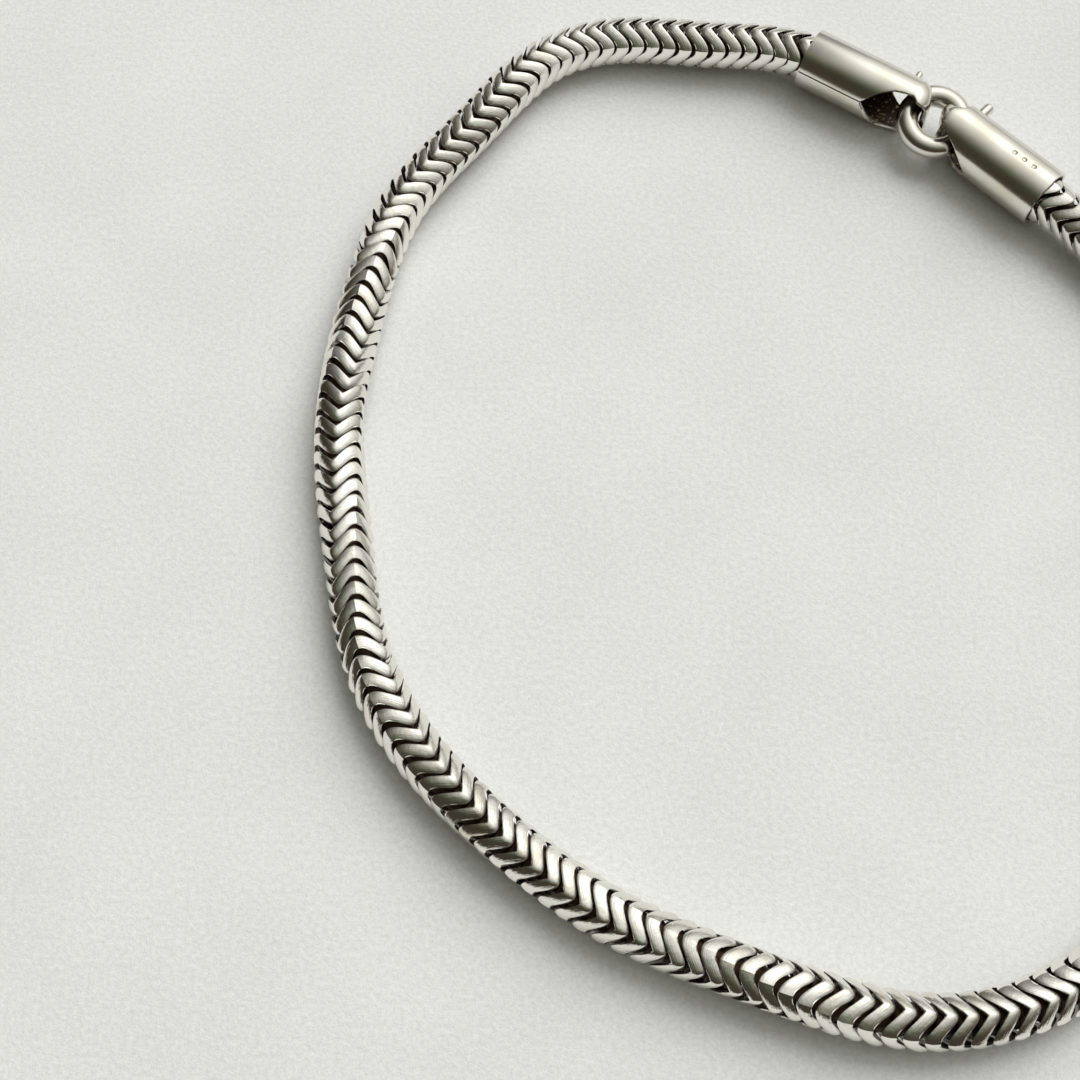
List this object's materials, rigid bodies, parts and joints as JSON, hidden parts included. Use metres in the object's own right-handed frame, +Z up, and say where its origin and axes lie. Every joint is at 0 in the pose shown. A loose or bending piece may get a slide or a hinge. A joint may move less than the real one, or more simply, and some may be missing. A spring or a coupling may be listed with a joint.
{
  "type": "silver snake-chain bracelet",
  "caption": "Round snake chain bracelet in silver: a loop of wave-edged links between two notched end tubes hooked into a closed wire ring.",
  "frame": {"origin": "on the surface it lies on, in the middle of the loop's outline", "axes": "+Z up from the surface, +Y along the loop's longer side with the clasp in the quarter of +X and +Y"},
  "size_m": [0.0562, 0.065, 0.0038],
  "materials": {
    "chain_silver": "polished silver with dark tarnish between the links",
    "cap_silver": "polished silver with fine wear",
    "ring_silver": "polished silver"
  },
  "bodies": {
    "root": {"snake_chain": "chain_silver", "end_cap_left": "cap_silver", "end_cap_right": "cap_silver", "link_ring": "ring_silver"}
  },
  "joints": []
}
